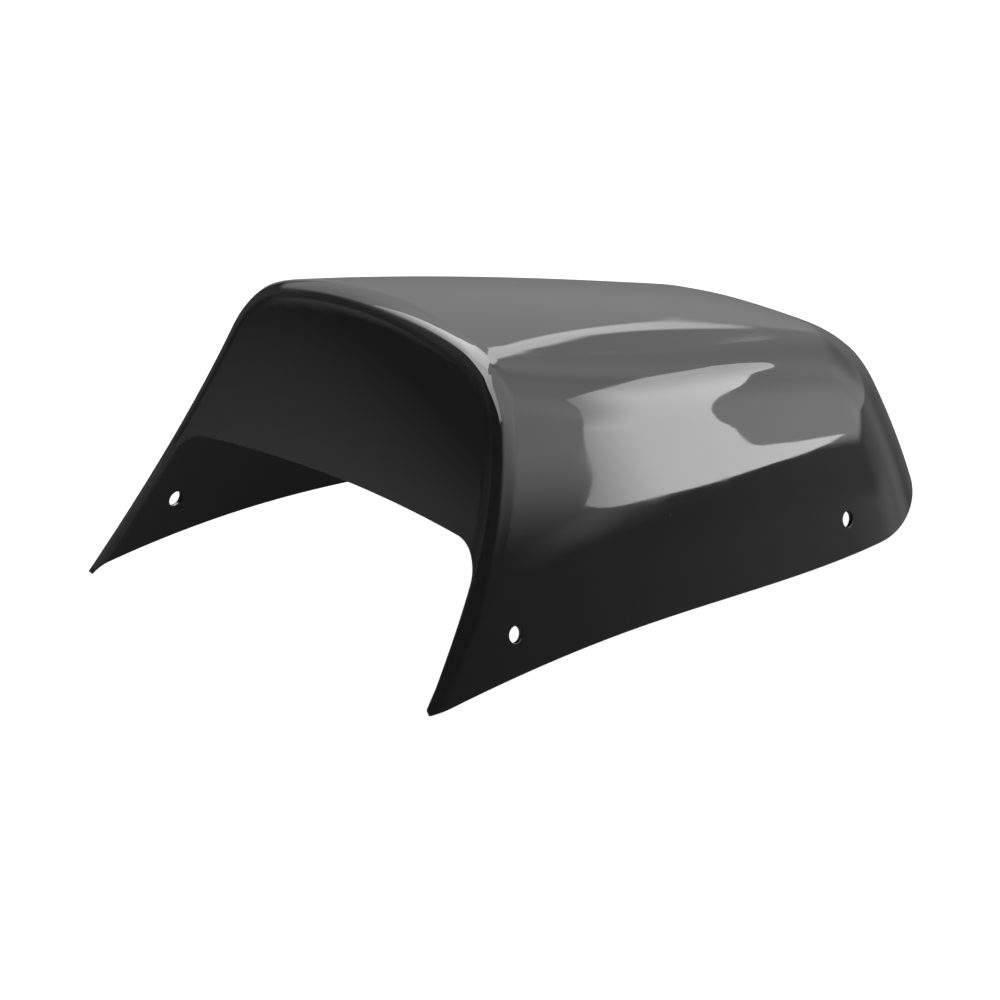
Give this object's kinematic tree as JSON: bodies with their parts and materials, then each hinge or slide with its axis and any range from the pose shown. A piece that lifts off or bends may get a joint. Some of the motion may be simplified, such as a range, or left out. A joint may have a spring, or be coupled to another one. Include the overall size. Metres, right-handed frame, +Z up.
{
  "type": "seat cowl",
  "caption": "Hump-shaped motorbike seat cowl: a one-piece gloss shell with a swept front wall, an arched front opening, pointed forward legs and side mounting holes.",
  "frame": {"origin": "centre of the bounding box in X and Y, on the surface the cowl stands on", "axes": "+X to the bike's left, +Y to the rear, +Z up"},
  "size_m": [0.2326, 0.3542, 0.1403],
  "materials": {
    "gloss_black": "high gloss, black"
  },
  "bodies": {
    "root": {"cowl_shell": "gloss_black"}
  },
  "joints": []
}
